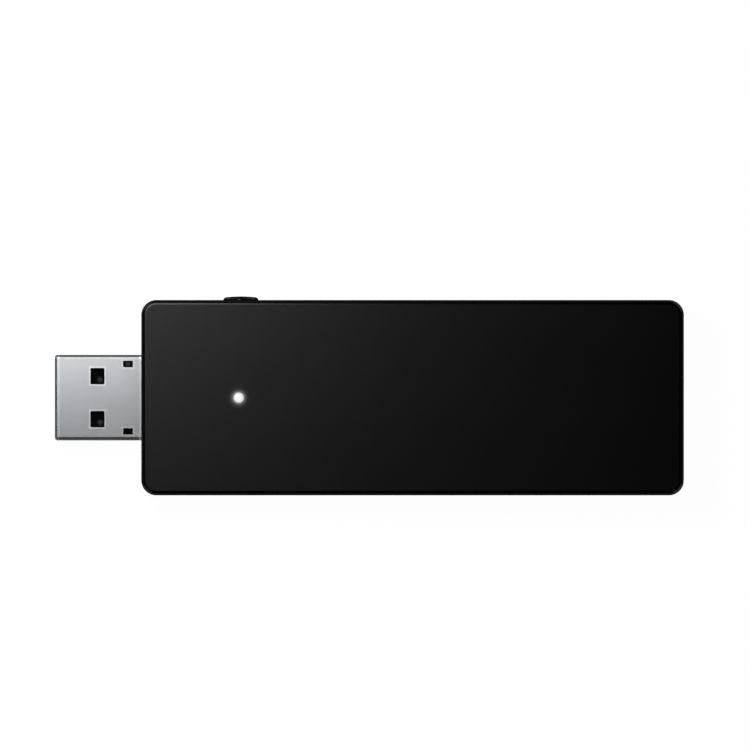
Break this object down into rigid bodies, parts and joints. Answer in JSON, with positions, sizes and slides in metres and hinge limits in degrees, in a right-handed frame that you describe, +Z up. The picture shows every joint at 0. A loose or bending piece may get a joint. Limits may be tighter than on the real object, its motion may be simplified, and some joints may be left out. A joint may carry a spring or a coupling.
{
  "type": "usb wifi adapter",
  "caption": "Flat black stick network adapter with a plug at one end, a status light in its top face and a small pairing button on one long edge.",
  "frame": {"origin": "centre of the case's flat underside", "axes": "+X runs away from the plug along the case, +Y towards the pairing button, +Z up through the status light"},
  "size_m": [0.0882, 0.0279, 0.0096],
  "materials": {
    "case_plastic": "satin black moulded plastic with a fine texture",
    "button_plastic": "smooth black plastic",
    "light_guide": "clear polycarbonate, lit white from below",
    "label_film": "blank silver film",
    "plug_steel": "nickel-plated stamped steel",
    "plug_plastic": "black glass-filled nylon",
    "contact_gold": "gold-plated bronze",
    "board_laminate": "green solder mask over copper",
    "lamp_lens": "white surface-mount lamp",
    "switch_plastic": "black nylon",
    "plunger_plastic": "white acetal",
    "spring_steel": "stainless spring leaf",
    "switch_steel": "tin-plated steel",
    "solder_tin": "matte tin",
    "shield_steel": "tin-plated steel sheet",
    "chip_epoxy": "moulded epoxy",
    "thermal_rubber": "soft grey-blue pad",
    "crystal_can": "nickel-plated can",
    "socket_gold": "gold-plated brass",
    "antenna_metal": "nickel-silver sheet",
    "inductor_ferrite": "sintered ferrite",
    "tantalum_shell": "amber moulded epoxy",
    "fuse_laminate": "green laminate with tinned ends",
    "capacitor_ceramic": "tan ceramic with tinned ends",
    "resistor_ceramic": "black film on white ceramic"
  },
  "bodies": {
    "case": {"top_cover": "case_plastic", "bottom_cover": "case_plastic", "rating_label": "label_film", "light_pipe": "light_guide", "usb_shell": "plug_steel", "usb_insulator": "plug_plastic", "usb_contact_power": "contact_gold", "usb_contact_data_minus": "contact_gold", "usb_contact_data_plus": "contact_gold", "usb_contact_ground": "contact_gold", "circuit_board": "board_laminate", "indicator_led": "lamp_lens", "switch_body": "switch_plastic", "switch_dome": "spring_steel", "switch_cover": "switch_steel", "switch_terminals": "solder_tin", "shield_frame": "shield_steel", "shield_lid": "shield_steel", "radio_chip": "chip_epoxy", "thermal_pad": "thermal_rubber", "front_end_chip_a": "chip_epoxy", "front_end_chip_b": "chip_epoxy", "crystal": "crystal_can", "flash_chip": "chip_epoxy", "flash_chip_leads": "solder_tin", "test_socket_a": "socket_gold", "test_socket_b": "socket_gold", "antenna_a": "antenna_metal", "antenna_b": "antenna_metal", "power_inductor": "inductor_ferrite", "voltage_regulator": "chip_epoxy", "surge_protector": "chip_epoxy", "small_chip_leads": "solder_tin", "tantalum_capacitor": "tantalum_shell", "usb_fuse": "fuse_laminate", "ceramic_capacitors": "capacitor_ceramic", "chip_resistors": "resistor_ceramic"},
    "button": {"pair_button": "button_plastic"},
    "plunger": {"switch_plunger": "plunger_plastic"}
  },
  "joints": [
    {"name": "button_press", "type": "slide", "parent": "case", "child": "button", "axis": [0, -1, 0], "range_m": [0, 0.00025], "stiffness_N_per_m": 6400},
    {"name": "plunger_press", "type": "slide", "parent": "case", "child": "plunger", "axis": [0, -1, 0], "range_m": [0, 0.00025], "deforming": ["switch_dome"]}
  ],
  "couplings": [
    {"joint": "plunger_press", "follows": "button_press", "ratio": 1}
  ]
}
